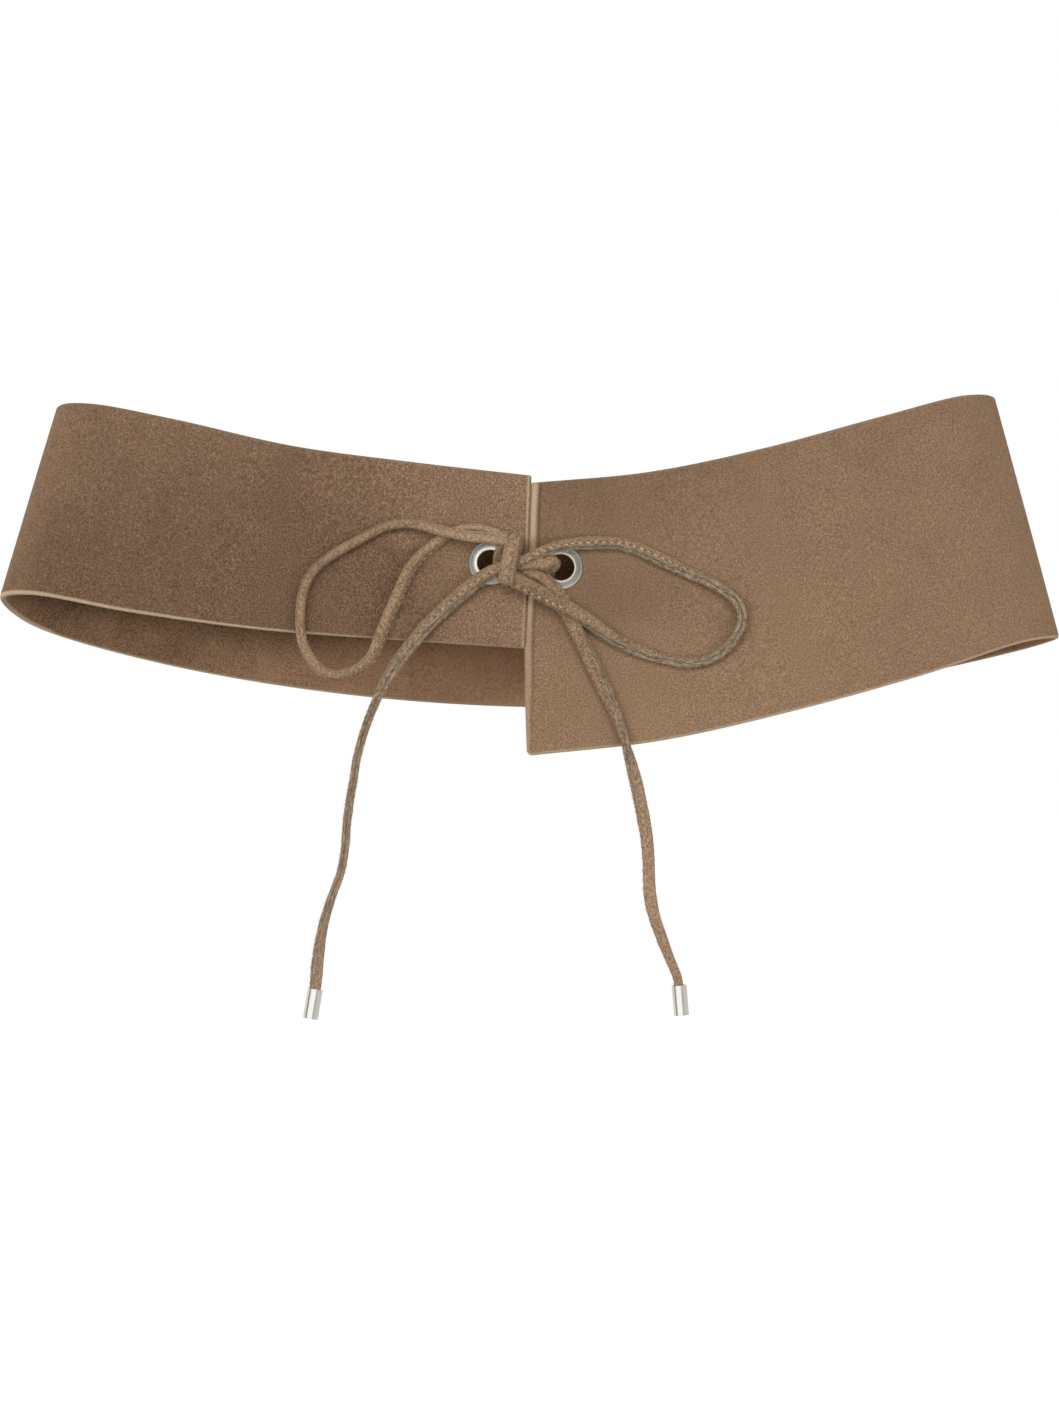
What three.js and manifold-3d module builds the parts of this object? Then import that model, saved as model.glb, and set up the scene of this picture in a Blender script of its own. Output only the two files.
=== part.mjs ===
// A wide suede waist belt that laces shut in front, in the form it has when it is worn.
// Millimetres, +Z up, the front towards -Y. The origin is the middle of the waist hollow.
import * as THREE from "three";
import { mergeVertices } from "three/addons/utils/BufferGeometryUtils.js";
import loadManifold from "manifold-3d";

const manifold = await loadManifold();
manifold.setup();

// The suede strap
const WALL = 2.8;
const STEPS_PER_SECTION = 8;

// Sections of the strap from its left end, round the left fold, the back and the right fold, to its right end.
// Each row gives the depth of the middle of the wall, and where its top edge and its bottom edge lie.
const SECTIONS = [
  { at: "left end", depth: -44, topX: 0.7, topZ: 45.3, bottomX: -1.9, bottomZ: -33.5 },
  { at: "left eyelet panel", depth: -44, topX: -53.5, topZ: 51.5, bottomX: -61, bottomZ: -29.5 },
  { at: "left front middle", depth: -43.5, topX: -107.5, topZ: 58.8, bottomX: -121, bottomZ: -25 },
  { at: "left front outer", depth: -40, topX: -161.5, topZ: 71.2, bottomX: -181, bottomZ: -17 },
  { at: "left fold, front", depth: -26, topX: -202, topZ: 79.5, bottomX: -228.5, bottomZ: -8.5 },
  { at: "left fold", depth: 0, topX: -219.2, topZ: 79.3, bottomX: -246.4, bottomZ: -10.2 },
  { at: "left fold, back", depth: 26, topX: -207.5, topZ: 67.5, bottomX: -235.2, bottomZ: -21.6 },
  { at: "left back outer", depth: 40, topX: -155.5, topZ: 53.5, bottomX: -177, bottomZ: -39 },
  { at: "left back", depth: 45, topX: -76.5, topZ: 44.5, bottomX: -89.5, bottomZ: -53.8 },
  { at: "back middle", depth: 46, topX: 0, topZ: 42.5, bottomX: -1.5, bottomZ: -60 },
  { at: "right back", depth: 45, topX: 77, topZ: 47.5, bottomX: 84.5, bottomZ: -58 },
  { at: "right back outer", depth: 40, topX: 153.5, topZ: 61, bottomX: 172.5, bottomZ: -46.5 },
  { at: "right fold, back", depth: 24, topX: 203.5, topZ: 75.5, bottomX: 231, bottomZ: -33.5 },
  { at: "right fold", depth: 0, topX: 216, topZ: 84, bottomX: 246, bottomZ: -28.2 },
  { at: "right fold, front", depth: -24, topX: 200, topZ: 83.5, bottomX: 226, bottomZ: -32 },
  { at: "right front outer", depth: -40, topX: 160, topZ: 72.4, bottomX: 180, bottomZ: -45.2 },
  { at: "right front middle", depth: -43.5, topX: 106.5, topZ: 57.8, bottomX: 119.5, bottomZ: -61.9 },
  { at: "right eyelet panel", depth: -44, topX: 54.5, topZ: 47, bottomX: 59.5, bottomZ: -75.3 },
  { at: "right end", depth: -44, topX: 1.2, topZ: 42, bottomX: -1, bottomZ: -82.2 },
];

// The eyelets: a flange in front, a barrel through the suede and a rolled rim behind
const GAP = 0.3;
const PANEL_DEPTH = -44;
const EYELETS = [
  { name: "eyelet_left", x: -17.7, z: 5.5 },
  { name: "eyelet_right", x: 14.3, z: 3.5 },
];
const EYELET_HOLE_RADIUS = 6.1;
const EYELET_BARREL_RADIUS = 6.8;
const EYELET_FLANGE_RADIUS = 10;
const EYELET_RIM_RADIUS = 8.4;
const EYELET_PLATE = 0.8;
const EYELET_SIDES = 36;

// The lace, a stitched suede cord, and the metal tubes on its ends
const LACE_RADIUS = 2.1;
const LACE_SIDES = 8;
const LACE_STEP = 12.5;
const TIGHT_LACE_STEP = 4;
const TIP_LENGTH = 13.7;
const TIP_RADIUS = 3.5;
const TIP_BORE_RADIUS = 2.5;
const TIP_SIDES = 24;
const LACE_IN_TIP = 8;
const LACE_STRAIGHT_ABOVE_TIP = 3;

// The knot: lace wrapped round the strands that pass through it, leaning to the right
const KNOT = { x: -8.4, y: -53.4, z: 7, lean: 0.16 };
const WRAP = { width: 6.8, depth: 13, height: 25 };
const CORE = { width: 8.6, depth: 10, height: 20 };

// Routes of the lace, each a list of [x, y, z]
const BACK_ROUTE = [
  [-14.8, -51.8, 10], [-15.1, -50.8, 8], [-15.3, -48.6, 6.4], [-15.2, -45.5, 5.6], [-14.8, -42.2, 5.3],
  [-13.4, -39.4, 5], [-10.8, -37.9, 4.8], [-6, -37.5, 4.5], [0, -37.5, 4.2], [5, -37.8, 4],
  [8.4, -38.5, 4], [10.6, -40.6, 4], [11, -43.5, 4], [10.8, -47, 4.2], [9.4, -49.8, 4.6],
  [5.2, -50.8, 5], [0, -50.8, 5.2], [-3.6, -50.8, 5.2],
];
const LEFT_LOOP_ROUTE = [
  [-12.4, -55.2, 15.2], [-17.8, -55.2, 16.1], [-26.9, -54.8, 16.8], [-35.9, -53.6, 18.5], [-45, -51.8, 20.9],
  [-54.1, -50.2, 23.1], [-59.6, -49.4, 23], [-65.5, -48.8, 21.7], [-72.3, -48.5, 18.5], [-79.2, -48.4, 14.8],
  [-86, -48.4, 11.1], [-91.4, -48.4, 7.6], [-96.9, -48.4, 3.1], [-100.9, -48.4, -2.6], [-103.2, -48.4, -10.1],
  [-104.1, -48.4, -18.7], [-103.7, -48.5, -26.4], [-101.4, -48.7, -34.1], [-97.7, -48.9, -40], [-92.7, -49, -44.1],
  [-87.3, -49, -45.4], [-81.4, -49, -44.1], [-75.5, -48.8, -40.9], [-71.4, -48.6, -36.4], [-68.7, -48.5, -29.6],
  [-65.6, -48.4, -21.4], [-61.9, -48.4, -13], [-58.3, -48.4, -5.1], [-54.7, -48.4, 2.6], [-49.7, -48.4, 8.5],
  [-43.3, -48.5, 14], [-37.4, -48.6, 17.8], [-31.5, -49, 20.3], [-25.6, -49.5, 21], [-19.3, -50, 19.8],
  [-12.4, -50.4, 17.4],
];
const RIGHT_LOOP_ROUTE = [
  [-2.5, -55, 6.5], [0.2, -55, 7.8], [4.7, -54.2, 10.2], [9.3, -53, 12], [14.7, -51.8, 13.5],
  [22.9, -50.4, 14.5], [32, -49.2, 14.9], [38.8, -48.6, 14.6], [45.6, -48.4, 13.4], [52.4, -48.4, 10.9],
  [59.2, -48.4, 7.6], [66, -48.4, 4.3], [72.8, -48.4, 1.2], [79.6, -48.4, -1.7], [86.4, -48.4, -5.4],
  [91.4, -48.4, -9.1], [95, -48.4, -13.5], [96.4, -48.4, -18.2], [95.5, -48.4, -23.7], [92.3, -48.4, -29.3],
  [87.3, -48.4, -34.3], [80.5, -48.4, -38], [72.8, -48.4, -39.2], [63.7, -48.4, -37.9], [54.7, -48.4, -35.6],
  [45.6, -48.6, -32.2], [36.5, -49.4, -27.3], [27.4, -51, -20.9], [18.3, -53.2, -15.3], [9.3, -54.8, -10.5],
  [2.5, -55.2, -6.7], [-4.8, -55.3, -2.8],
];
const LEFT_TAIL_ROUTE = [
  [-15.1, -53, 2.2], [-18.3, -52.6, 0.8], [-22.4, -51.8, -1.6], [-27.6, -50.6, -5.3], [-34.1, -49.4, -10.7],
  [-40.6, -48.7, -16.6], [-47.1, -48.4, -23.1], [-53.6, -48.4, -30.7], [-60.1, -48.4, -38.9], [-65.1, -48.4, -47.5],
  [-69.5, -48.5, -56.8], [-73.2, -48.6, -65.9], [-76.1, -48.7, -74.9], [-78.4, -48.8, -84], [-79.6, -48.9, -92.1],
  [-81.3, -49, -102.1], [-82.7, -49.2, -113], [-83.4, -49.3, -123], [-85.4, -49.2, -134.7], [-88.6, -49.1, -143.8],
  [-91.6, -48.9, -152.9], [-93.8, -48.7, -162], [-95.5, -48.5, -172.9], [-96.2, -48.4, -180],
];
const RIGHT_TAIL_ROUTE = [
  [-4.4, -50.2, 0.5], [0.2, -50.2, 0.4], [3.9, -50, -0.5], [7, -49.7, -2.4], [10.2, -49.1, -6],
  [12.9, -48.6, -10.3], [15.9, -48.4, -15.5], [18.7, -48.4, -20.5], [23, -48.4, -29.6], [27.4, -48.4, -38.6],
  [31.5, -48.4, -47.7], [35.7, -48.4, -56.8], [39.6, -48.4, -65.9], [43.1, -48.5, -74.9], [46, -48.6, -84],
  [48.4, -48.8, -93.1], [50.3, -49, -102.1], [52.2, -49.2, -112.1], [53.6, -49.3, -123], [54.3, -49.2, -134.8],
  [54.9, -49.1, -144.7], [56.9, -48.9, -154.7], [60.1, -48.7, -163.8], [63.3, -48.5, -171.9], [66.3, -48.4, -178],
];
const TIPS = [
  { name: "tip_left", tail: "lace_tail_left", route: LEFT_TAIL_ROUTE, x: -97.1, y: -48.4, z: -187.7, tilt: -0.167 },
  { name: "tip_right", tail: "lace_tail_right", route: RIGHT_TAIL_ROUTE, x: 67.8, y: -48.4, z: -186.1, tilt: 0.083 },
];

const suede = new THREE.MeshStandardMaterial({ color: 0x8b6f58, roughness: 0.95, metalness: 0 });
const laceSuede = new THREE.MeshStandardMaterial({ color: 0x967a5e, roughness: 0.9, metalness: 0 });
const nickel = new THREE.MeshStandardMaterial({ color: 0xc4c2bc, roughness: 0.35, metalness: 1 });
const polishedMetal = new THREE.MeshStandardMaterial({ color: 0xd8d6cf, roughness: 0.15, metalness: 1 });

const belt = new THREE.Group();

function addPiece(name, geometry, material) {
  const piece = new THREE.Mesh(geometry, material);
  piece.name = name;
  belt.add(piece);
  return piece;
}

function solidOf(geometry) {
  const bare = geometry.clone();
  bare.deleteAttribute("normal");
  bare.deleteAttribute("uv");
  const merged = mergeVertices(bare, 1e-3);
  const mesh = new manifold.Mesh({
    numProp: 3,
    vertProperties: new Float32Array(merged.attributes.position.array),
    triVerts: new Uint32Array(merged.index.array),
  });
  return new manifold.Manifold(mesh);
}

function geometryOf(solid) {
  const mesh = solid.getMesh();
  const geometry = new THREE.BufferGeometry();
  geometry.setAttribute("position", new THREE.BufferAttribute(mesh.vertProperties, 3));
  geometry.setIndex(new THREE.BufferAttribute(mesh.triVerts, 1));
  geometry.computeVertexNormals();
  return geometry;
}

// One edge of the strap as a smooth curve through its sections
function edgeCurve(xColumn, zColumn) {
  const points = SECTIONS.map((row) => new THREE.Vector3(row[xColumn], row.depth, row[zColumn]));
  return new THREE.CatmullRomCurve3(points, false, "centripetal");
}

// The wall between the two edges, half its thickness out and half in, with four corners at each step
function strapWall() {
  const top = edgeCurve("topX", "topZ");
  const bottom = edgeCurve("bottomX", "bottomZ");
  const steps = (SECTIONS.length - 1) * STEPS_PER_SECTION;
  const positions = [];
  for (let step = 0; step <= steps; step += 1) {
    const t = step / steps;
    const high = top.getPoint(t);
    const low = bottom.getPoint(t);
    const along = top.getTangent(t).add(bottom.getTangent(t));
    const up = high.clone().sub(low);
    const out = new THREE.Vector3().crossVectors(up, along).normalize();
    const half = out.multiplyScalar(WALL / 2);
    for (const corner of [high.clone().add(half), high.clone().sub(half), low.clone().sub(half), low.clone().add(half)]) {
      positions.push(corner.x, corner.y, corner.z);
    }
  }
  const triangles = [];
  for (let step = 0; step < steps; step += 1) {
    for (let side = 0; side < 4; side += 1) {
      const a = step * 4 + side;
      const b = step * 4 + ((side + 1) % 4);
      triangles.push(a, b, b + 4, a, b + 4, a + 4);
    }
  }
  const last = steps * 4;
  triangles.push(0, 2, 1, 0, 3, 2);
  triangles.push(last, last + 1, last + 2, last, last + 2, last + 3);
  const geometry = new THREE.BufferGeometry();
  geometry.setAttribute("position", new THREE.BufferAttribute(new Float32Array(positions), 3));
  geometry.setIndex(triangles);
  return geometry;
}

function strapWithHoles() {
  let strap = solidOf(strapWall());
  const holeLength = 4 * WALL;
  for (const eyelet of EYELETS) {
    const hole = new THREE.CylinderGeometry(
      EYELET_BARREL_RADIUS + GAP, EYELET_BARREL_RADIUS + GAP, holeLength, EYELET_SIDES);
    hole.translate(eyelet.x, PANEL_DEPTH, eyelet.z);
    strap = strap.subtract(solidOf(hole));
  }
  return geometryOf(strap);
}

// Half of an eyelet's cut face, as [radius, distance behind the middle of the suede], turned about its axis
function eyeletGeometry() {
  const front = -WALL / 2 - GAP;
  const back = WALL / 2 + GAP;
  const profile = [
    [EYELET_HOLE_RADIUS, front - EYELET_PLATE],
    [EYELET_FLANGE_RADIUS - 0.5, front - EYELET_PLATE],
    [EYELET_FLANGE_RADIUS, front - EYELET_PLATE / 2],
    [EYELET_FLANGE_RADIUS, front],
    [EYELET_BARREL_RADIUS, front],
    [EYELET_BARREL_RADIUS, back],
    [EYELET_RIM_RADIUS, back],
    [EYELET_RIM_RADIUS, back + EYELET_PLATE],
    [EYELET_HOLE_RADIUS, back + EYELET_PLATE],
    [EYELET_HOLE_RADIUS, front - EYELET_PLATE],
  ];
  const points = profile.map(([radius, height]) => new THREE.Vector2(radius, height));
  return new THREE.LatheGeometry(points, EYELET_SIDES);
}

function laceTube(route, step = LACE_STEP) {
  const path = new THREE.CatmullRomCurve3(route.map((point) => new THREE.Vector3(...point)));
  const section = new THREE.Shape(
    Array.from({ length: LACE_SIDES }, (_, side) => {
      const angle = (side / LACE_SIDES) * 2 * Math.PI;
      return new THREE.Vector2(LACE_RADIUS * Math.cos(angle), LACE_RADIUS * Math.sin(angle));
    }),
  );
  const steps = Math.round(path.getLength() / step);
  return new THREE.ExtrudeGeometry(section, { steps, bevelEnabled: false, extrudePath: path });
}

// An oval across the knot's depth and height, drawn out along its width
function ovalBlock({ width, depth, height }) {
  const oval = new THREE.Shape();
  oval.absellipse(0, 0, depth / 2, height / 2, 0, 2 * Math.PI);
  const block = new THREE.ExtrudeGeometry(oval, { depth: width, bevelEnabled: false, curveSegments: 12 });
  block.translate(0, 0, -width / 2);
  block.applyMatrix4(new THREE.Matrix4().makeBasis(
    new THREE.Vector3(0, 1, 0), new THREE.Vector3(0, 0, 1), new THREE.Vector3(1, 0, 0)));
  return block;
}

function knotGeometry() {
  return geometryOf(solidOf(ovalBlock(WRAP)).add(solidOf(ovalBlock(CORE))));
}

function tipGeometry() {
  const profile = [
    [TIP_BORE_RADIUS, 0],
    [TIP_BORE_RADIUS, -TIP_LENGTH],
    [TIP_RADIUS, -TIP_LENGTH],
    [TIP_RADIUS, 0],
    [TIP_BORE_RADIUS, 0],
  ];
  const points = profile.map(([radius, height]) => new THREE.Vector2(radius, height));
  const tube = new THREE.LatheGeometry(points, TIP_SIDES);
  return tube.rotateX(Math.PI / 2);
}

addPiece("belt_band", strapWithHoles(), suede);
for (const eyelet of EYELETS) {
  addPiece(eyelet.name, eyeletGeometry(), nickel).position.set(eyelet.x, PANEL_DEPTH, eyelet.z);
}
addPiece("lace_back", laceTube(BACK_ROUTE, TIGHT_LACE_STEP), laceSuede);
const knot = addPiece("lace_knot", knotGeometry(), laceSuede);
knot.position.set(KNOT.x, KNOT.y, KNOT.z);
knot.rotation.y = KNOT.lean;
addPiece("lace_loop_left", laceTube(LEFT_LOOP_ROUTE), laceSuede);
addPiece("lace_loop_right", laceTube(RIGHT_LOOP_ROUTE), laceSuede);
for (const tip of TIPS) {
  const mouth = new THREE.Vector3(tip.x, tip.y, tip.z);
  const down = new THREE.Vector3(Math.sin(tip.tilt), 0, -Math.cos(tip.tilt));
  const above = mouth.clone().addScaledVector(down, -LACE_STRAIGHT_ABOVE_TIP);
  const end = mouth.clone().addScaledVector(down, LACE_IN_TIP);
  addPiece(tip.tail, laceTube([...tip.route, above.toArray(), end.toArray()]), laceSuede);
  const tube = addPiece(tip.name, tipGeometry(), polishedMetal);
  tube.position.copy(mouth);
  tube.rotation.y = -tip.tilt;
}

export default belt;
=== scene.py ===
# A wide shaped suede waist belt, drawn shut in front by a stitched suede lace tied in a bow.
# Metres, +Z up, front towards -Y, origin in the middle of the waist hollow. The tables are in millimetres.
import math

import bpy
import numpy as np
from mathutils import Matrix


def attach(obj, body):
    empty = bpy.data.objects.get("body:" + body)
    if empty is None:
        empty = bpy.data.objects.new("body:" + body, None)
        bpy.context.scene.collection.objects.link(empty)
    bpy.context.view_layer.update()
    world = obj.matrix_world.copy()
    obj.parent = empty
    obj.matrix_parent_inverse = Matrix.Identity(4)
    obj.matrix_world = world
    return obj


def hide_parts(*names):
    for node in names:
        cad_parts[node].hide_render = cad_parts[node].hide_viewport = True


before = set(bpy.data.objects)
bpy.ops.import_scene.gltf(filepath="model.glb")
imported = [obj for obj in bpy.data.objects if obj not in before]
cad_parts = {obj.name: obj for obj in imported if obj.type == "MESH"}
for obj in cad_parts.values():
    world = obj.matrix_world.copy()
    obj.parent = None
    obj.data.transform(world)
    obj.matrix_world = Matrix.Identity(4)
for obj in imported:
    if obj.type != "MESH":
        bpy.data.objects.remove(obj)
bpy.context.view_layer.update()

# The camera stands level, 1.6 m from the belt's front, where it sees 481 mm across
SENSOR_WIDTH = 36
VIEW_DISTANCE = 1.6
VIEW_WIDTH = 0.4813
VIEW_HEIGHT = -0.0595
BELT_FRONT = -0.045
camera = bpy.data.objects.new("camera", bpy.data.cameras.new("camera"))
camera.data.sensor_fit = "HORIZONTAL"
camera.data.sensor_width = SENSOR_WIDTH
camera.data.lens = SENSOR_WIDTH * VIEW_DISTANCE / VIEW_WIDTH
camera.location = (0, BELT_FRONT - VIEW_DISTANCE, VIEW_HEIGHT)
camera.rotation_euler = (math.radians(90), 0, 0)
bpy.context.scene.collection.objects.link(camera)
bpy.context.scene.camera = camera

# The lace is a strip of suede folded in two and stitched along its open side with tan thread.
# One side of the cord is the round fold, and the other shows the two cut layers with a slit between them.
MM = 0.001
LACE_WIDTH = 5.6
LACE_THICKNESS = 4
STITCH_LINE = 1.4
STITCH_PITCH = 3.55
LACE_STEP = 0.6

# Half of the cord's section, round from the slit to the fold: distance from the middle towards the cut side,
# height of the face there, and how much of it is cut edge
LACE_SECTION = np.array([
    (1.80, 0.00, 1.0), (2.40, 0.12, 1.0), (2.72, 0.42, 1.0), (2.80, 0.95, 1.0), (2.78, 1.50, 0.95),
    (2.62, 1.90, 0.7), (2.30, 2.10, 0.3), (1.90, 1.98, 0.1), (1.40, 1.70, 0.0), (0.95, 1.90, 0.0),
    (0.50, 1.99, 0.0), (0.00, 2.00, 0.0), (-0.60, 1.98, 0.0), (-1.20, 1.88, 0.0), (-1.80, 1.62, 0.0),
    (-2.28, 1.24, 0.0), (-2.62, 0.76, 0.0), (-2.78, 0.26, 0.0),
])

# Each strand's route, as x, y, z, from where it is hidden in the knot
LEFT_LOOP = [
    (-7.5, -54.6, 13.6), (-12.4, -55.2, 15.2), (-17.8, -55.2, 16.1), (-26.9, -54.8, 16.8),
    (-35.9, -53.6, 18.5), (-45, -51.8, 20.9), (-54.1, -50.2, 23.1), (-59.6, -49.4, 23),
    (-65.5, -48.8, 21.7), (-72.3, -48.5, 18.5), (-79.2, -48.4, 14.8), (-86, -48.4, 11.1),
    (-91.4, -48.4, 7.6), (-96.9, -48.4, 3.1), (-100.9, -48.4, -2.6), (-103.2, -48.4, -10.1),
    (-104.1, -48.4, -18.7), (-103.7, -48.5, -26.4), (-101.4, -48.7, -34.1), (-97.7, -48.9, -40),
    (-92.7, -49, -44.1), (-87.3, -49, -45.4), (-81.4, -49, -44.1), (-75.5, -48.8, -40.9),
    (-71.4, -48.6, -36.4), (-68.7, -48.5, -29.6), (-65.6, -48.4, -21.4), (-61.9, -48.4, -13),
    (-58.3, -48.4, -5.1), (-54.7, -48.4, 2.6), (-49.7, -48.4, 8.5), (-43.3, -48.5, 14), (-37.4, -48.4, 18),
    (-31.5, -48.4, 20.7), (-25.6, -48.5, 21.6), (-19.3, -48.9, 20.5), (-12.4, -49.8, 17.8),
    (-7.5, -51, 15.2),
]
RIGHT_LOOP = [
    (-8, -54.4, 4.6), (-2.5, -55, 6.5), (0.2, -55, 7.8), (4.7, -54.2, 10.2), (9.3, -53, 12),
    (14.7, -51.8, 13.5), (22.9, -50.4, 14.5), (32, -49.2, 14.9), (38.8, -48.6, 14.6), (45.6, -48.4, 13.4),
    (52.4, -48.4, 10.9), (59.2, -48.4, 7.6), (66, -48.4, 4.3), (72.8, -48.4, 1.2), (79.6, -48.4, -1.7),
    (86.4, -48.4, -5.4), (91.4, -48.4, -9.1), (95, -48.4, -13.5), (96.4, -48.4, -18.2),
    (95.5, -48.4, -23.7), (92.3, -48.4, -29.3), (87.3, -48.4, -34.3), (80.5, -48.4, -38),
    (72.8, -48.4, -39.2), (63.7, -48.4, -37.9), (54.7, -48.4, -35.6), (45.6, -48.6, -32.2),
    (36.5, -49.4, -27.3), (27.4, -51, -20.9), (18.3, -53.2, -15.3), (9.3, -54.8, -10.5),
    (2.5, -55.2, -6.7), (-4.8, -55.3, -2.8), (-8.6, -54.6, -0.4),
]
LEFT_TAIL = [
    (-9, -53.2, 4.4), (-15.1, -53, 2.2), (-18.3, -52.6, 0.8), (-22.4, -51.8, -1.6), (-27.6, -50.6, -5.3),
    (-34.1, -49.4, -10.7), (-40.6, -48.7, -16.6), (-47.1, -48.4, -23.1), (-53.6, -48.4, -30.7),
    (-60.1, -48.4, -38.9), (-65.1, -48.4, -47.5), (-69.5, -48.5, -56.8), (-73.2, -48.6, -65.9),
    (-76.1, -48.7, -74.9), (-78.4, -48.8, -84), (-79.6, -48.9, -92.1), (-81.3, -49, -102.1),
    (-82.7, -49.2, -113), (-83.4, -49.3, -123), (-85.4, -49.2, -134.7), (-88.6, -49.1, -143.8),
    (-91.6, -48.9, -152.9), (-93.8, -48.7, -162), (-95.5, -48.5, -172.9), (-96.2, -48.4, -180),
    (-96.6, -48.4, -184.7), (-98.4, -48.4, -195.6),
]
RIGHT_TAIL = [
    (-9, -51, 1.4), (-4.4, -50.2, 0.5), (0.2, -50.2, 0.4), (3.9, -50, -0.5), (7, -49.7, -2.4),
    (10.2, -49.1, -6), (12.9, -48.6, -10.3), (15.9, -48.4, -15.5), (18.7, -48.4, -20.5),
    (23, -48.4, -29.6), (27.4, -48.4, -38.6), (31.5, -48.4, -47.7), (35.7, -48.4, -56.8),
    (39.6, -48.4, -65.9), (43.1, -48.5, -74.9), (46, -48.6, -84), (48.4, -48.8, -93.1),
    (50.3, -49, -102.1), (52.2, -49.2, -112.1), (53.6, -49.3, -123), (54.3, -49.2, -134.8),
    (54.9, -49.1, -144.7), (56.9, -48.9, -154.7), (60, -48.7, -163.8), (63, -48.5, -171.9),
    (65.5, -48.4, -178), (67.4, -48.4, -183.1), (68.5, -48.4, -194.1),
]

# How each strand looks, as stops of (share of the way along, value): how far its cut side is turned up out
# of the picture's plane, in degrees; its width as a share of LACE_WIDTH; how far the nap is rubbed pale, or
# below 0 brushed dark, which in places is painted light and shade; and how far the stitches show. The last
# number is how frayed its cut layers are.
LEFT_LOOP_SHAPE = (
    [(0, -66), (0.12, -74), (0.3, -86), (0.45, -86), (0.6, -78), (0.7, -70), (0.86, -72), (0.9, -84),
     (0.96, -84), (1, -20)],
    [(0, 1.1), (0.12, 1.04), (0.3, 1.06), (0.5, 1.08), (0.62, 1.12), (0.76, 1.2), (0.85, 1.12),
     (0.89, 0.88), (0.95, 0.84), (1, 0.86)],
    # Left loop: the pale stops near its end are painted light on the upper arch, which lies in shade
    [(0, 0.7), (0.1, 0.8), (0.15, 0.3), (0.2, -0.2), (0.28, 0.1), (0.36, -0.2), (0.5, 0.14), (0.6, 0.06),
     (0.85, 0.1), (0.9, 0.85), (0.97, 0.7), (1, 0)],
    [(0, 1), (1, 1)], 0.3)
RIGHT_LOOP_SHAPE = (
    [(0, 28), (0.2, 32), (0.34, 50), (0.44, 82), (0.54, 100), (0.64, 118), (0.76, 138), (0.86, 162),
     (0.93, 200), (1, 225)],
    [(0, 0.8), (0.06, 0.84), (0.13, 1), (0.25, 1.08), (0.45, 0.98), (0.55, 0.94), (0.7, 1.04), (1, 1.2)],
    [(0, 0.1), (0.06, 0.1), (0.14, -0.08), (0.3, 0.14), (0.5, -0.05), (0.65, 0.05), (0.84, -0.08),
     (0.92, -0.28), (1, -0.25)],
    [(0, 0.95), (0.36, 0.9), (0.5, 0.4), (0.84, 0.3), (0.88, 0.75), (1, 0.75)], 0.9)
LEFT_TAIL_SHAPE = (
    [(0, 150), (0.2, 144), (0.3, 118), (0.38, 94), (0.76, 86), (0.86, 56), (0.92, 34), (1, 26)],
    [(0, 1.08), (0.12, 1.14), (0.3, 1.1), (0.4, 0.94), (0.5, 0.88), (0.62, 0.92), (0.72, 0.86),
     (0.84, 0.84), (0.92, 0.94), (1, 0.88)],
    [(0, 0.1), (0.3, 0.1), (0.42, -0.2), (0.5, 0.1), (0.8, 0.35), (0.92, 0.55), (1, 0.55)],
    [(0, 1), (0.3, 0.9), (0.4, 0.5), (0.8, 0.5), (0.9, 0.3), (1, 0.3)], 0.85)
RIGHT_TAIL_SHAPE = (
    [(0, 270), (0.08, 262), (0.15, 205), (0.2, 166), (0.32, 150), (0.4, 118), (0.45, 88), (0.52, 38),
     (0.62, 14), (0.7, -6), (0.78, -42), (0.86, -66), (0.94, -78), (1, -76)],
    [(0, 1.1), (0.04, 1.3), (0.11, 1.32), (0.18, 1.16), (0.32, 1.14), (0.42, 0.86), (0.53, 1.04),
     (0.7, 0.95), (0.8, 1), (0.88, 0.98), (0.95, 0.86), (1, 0.8)],
    # Right tail: the dark start is painted shadow in the gap behind the right loop's return strand
    [(0, -0.9), (0.03, -0.5), (0.06, 0.14), (0.12, 0.08), (0.17, -0.15), (0.25, -0.08), (0.33, 0),
     (0.39, 0.18), (0.45, -0.2), (0.52, 0.4), (0.7, 0.55), (0.8, 0.6), (0.92, 0.4), (1, 0.1)],
    [(0, 0), (0.15, 0.3), (0.35, 0.4), (0.5, 0.7), (0.75, 0.7), (0.8, 0.3), (1, 0.3)], 0.75)


def curve_through(points, at):
    """The centripetal Catmull-Rom curve at places counted in points: each span blends the straight lines
    through its four neighbours, with knots spaced by the square root of the chords and mirrored ends."""
    points = np.asarray(points, float)
    held = np.vstack([2 * points[0] - points[1], points, 2 * points[-1] - points[-2]])
    knots = np.concatenate([[0], np.cumsum(np.linalg.norm(np.diff(held, axis=0), axis=1) ** 0.5)])
    span = np.clip(at.astype(int), 0, len(points) - 2)
    place = knots[span + 1] + (at - span) * (knots[span + 2] - knots[span + 1])

    def blend(first, second, low, high):
        share = ((place - knots[span + low]) / (knots[span + high] - knots[span + low]))[:, None]
        return first * (1 - share) + second * share

    lines = [blend(held[span + k], held[span + k + 1], k, k + 1) for k in range(3)]
    bows = [blend(lines[k], lines[k + 1], k, k + 2) for k in range(2)]
    return blend(bows[0], bows[1], 1, 2)


def even_line(points, step):
    """The smooth curve through the points, cut into equal steps along its own length."""
    fine = curve_through(points, np.linspace(0, len(points) - 1, 40 * len(points)))
    run = np.concatenate([[0], np.cumsum(np.linalg.norm(np.diff(fine, axis=0), axis=1))])
    even = np.linspace(0, run[-1], int(run[-1] / step) + 1)
    return np.stack([np.interp(even, run, fine[:, k]) for k in range(3)], 1), even


def unit(vectors):
    """Vectors divided by their own lengths."""
    return vectors / np.linalg.norm(vectors, axis=-1, keepdims=True)


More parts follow.
